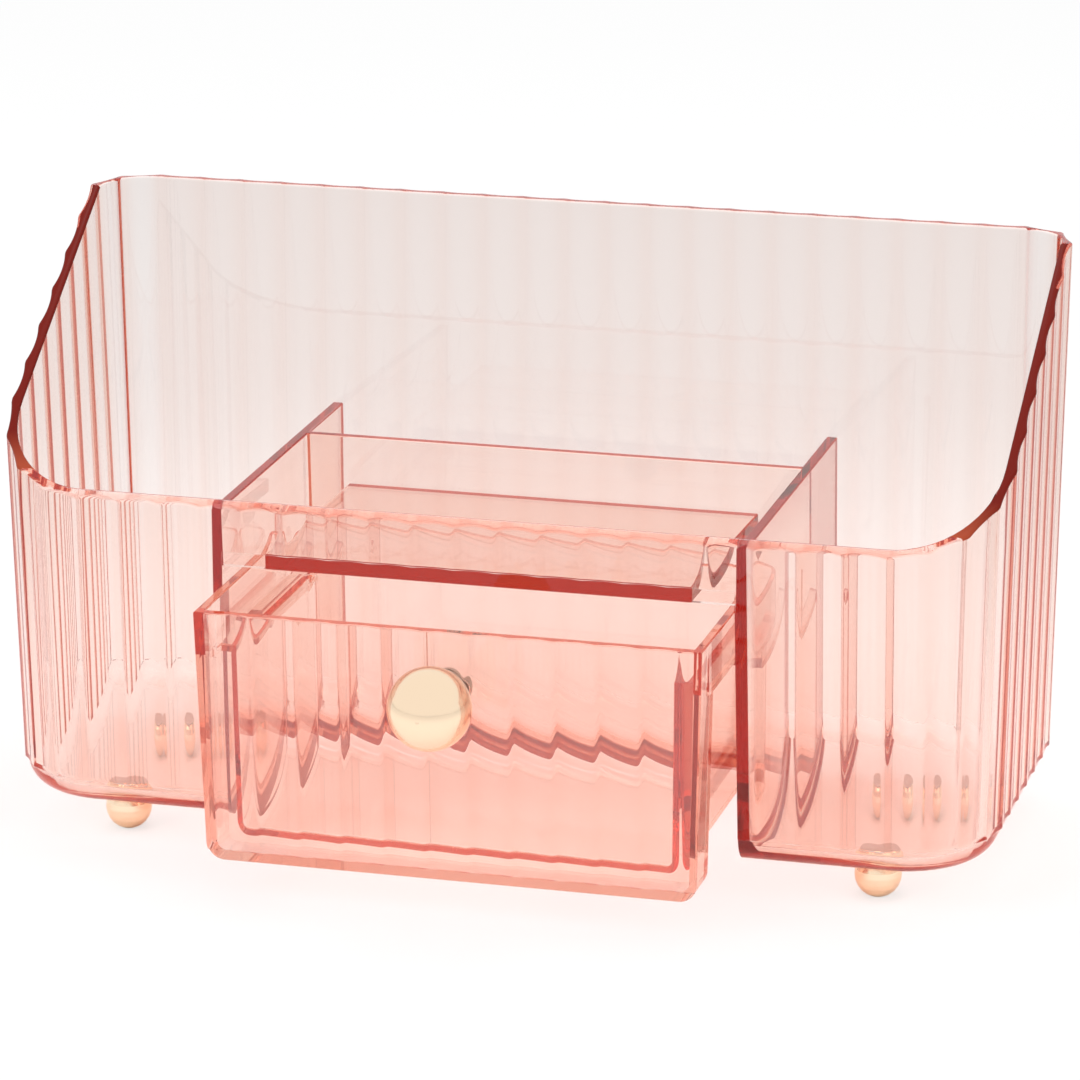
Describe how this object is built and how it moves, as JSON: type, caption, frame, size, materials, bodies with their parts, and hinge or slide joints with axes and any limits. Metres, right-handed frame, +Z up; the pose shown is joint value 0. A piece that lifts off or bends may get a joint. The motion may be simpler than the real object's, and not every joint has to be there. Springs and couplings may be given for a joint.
{
  "type": "brush holder with drawer",
  "caption": "Clear fluted desktop brush holder with a sloping rim, side and rear compartments, a shelf, a sliding drawer with a ball knob, and ball feet.",
  "frame": {"origin": "middle of the footprint of the whole holder with its drawer at rest, on the surface it stands on", "axes": "+Z up, +Y to the back, +X to the right seen from the front"},
  "size_m": [0.23, 0.137, 0.1324],
  "materials": {
    "pink_plastic": "clear, tinted pale pink, polished",
    "gold_metal": "satin, pale gold",
    "steel": "plain",
    "adhesive": "cured clear-grey glue"
  },
  "bodies": {
    "holder": {"casing": "pink_plastic", "foot_front_left": "gold_metal", "foot_front_right": "gold_metal", "foot_rear_left": "gold_metal", "foot_rear_right": "gold_metal", "foot_pad_front_left": "adhesive", "foot_pad_front_right": "adhesive", "foot_pad_rear_left": "adhesive", "foot_pad_rear_right": "adhesive"},
    "drawer_unit": {"drawer": "pink_plastic", "knob": "gold_metal", "knob_screw": "steel"}
  },
  "joints": [
    {"name": "drawer_slide", "type": "slide", "parent": "holder", "child": "drawer_unit", "axis": [0, -1, 0], "range_m": [-0.0224, 0.016]}
  ]
}
